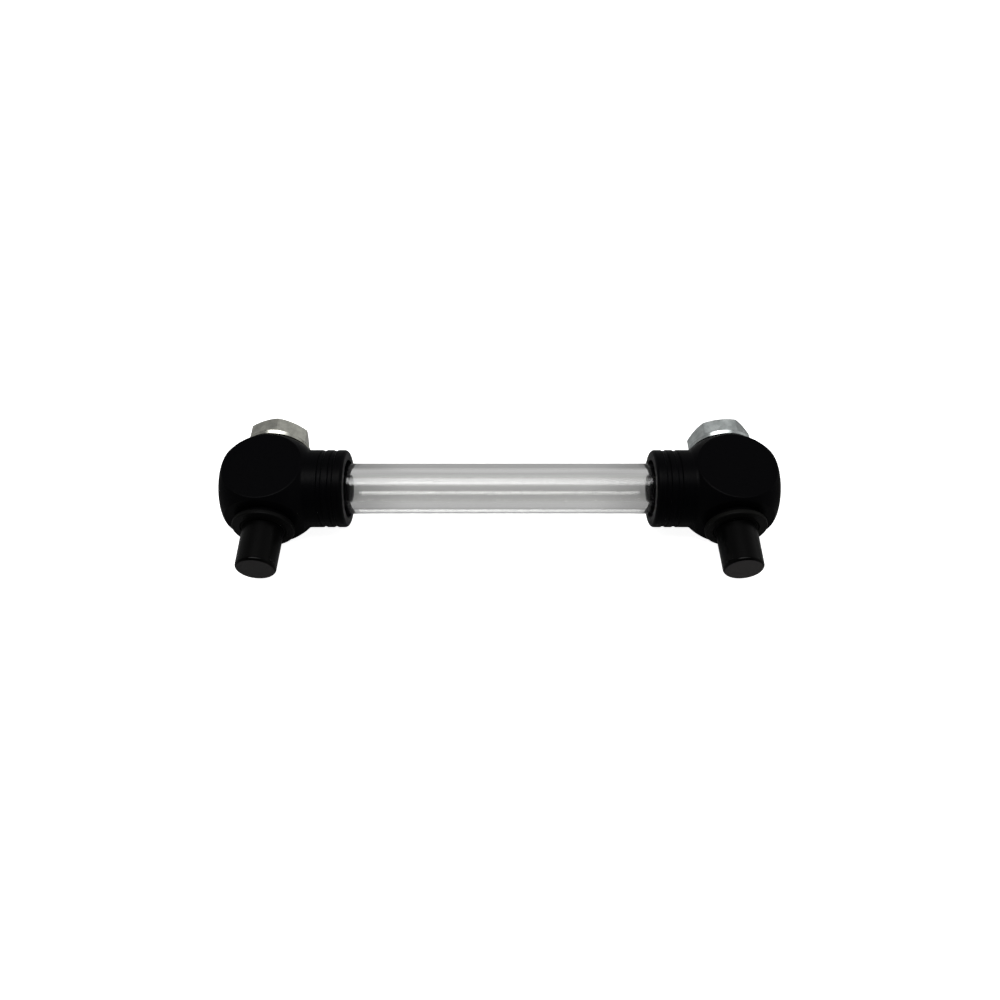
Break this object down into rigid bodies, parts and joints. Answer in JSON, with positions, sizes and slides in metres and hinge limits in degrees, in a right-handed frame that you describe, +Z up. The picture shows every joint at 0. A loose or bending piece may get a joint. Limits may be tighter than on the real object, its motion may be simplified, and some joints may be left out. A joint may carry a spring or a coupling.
{
  "type": "tank level gauge",
  "caption": "Tank level gauge: clear sight tube held between black moulded banjo heads, each fixed by a hollow hexagon bolt with seals and a cap over its thread.",
  "frame": {"origin": "middle of the gauge on the surface it lies on: centre of the outer box in X and Y, Z zero at the bottom flats of the two heads", "axes": "+X along the sight tube from the left head to the right head, -Y along the bolts towards the tank wall, +Z up from the surface it lies on"},
  "size_m": [0.1688, 0.049, 0.0242],
  "materials": {
    "black_nylon": "moulded glass-filled nylon, glossy with a faint fine grain",
    "clear_tube": "clear drawn tube, polished",
    "zinc_plated_steel": "bright zinc plate, satin",
    "black_rubber": "nitrile rubber, satin",
    "washer_nylon": "moulded nylon, satin",
    "cap_plastic": "moulded polyethylene, glossy side and matt end"
  },
  "bodies": {
    "root": {"sight_tube": "clear_tube", "left_head": "black_nylon", "right_head": "black_nylon", "left_inner_tube_o_ring": "black_rubber", "right_inner_tube_o_ring": "black_rubber", "left_outer_tube_o_ring": "black_rubber", "right_outer_tube_o_ring": "black_rubber", "left_banjo_bolt": "zinc_plated_steel", "right_banjo_bolt": "zinc_plated_steel", "left_head_seal": "black_rubber", "right_head_seal": "black_rubber", "left_tank_washer": "washer_nylon", "right_tank_washer": "washer_nylon", "left_stud_o_ring": "black_rubber", "right_stud_o_ring": "black_rubber", "left_thread_cap": "cap_plastic", "right_thread_cap": "cap_plastic"}
  },
  "joints": []
}
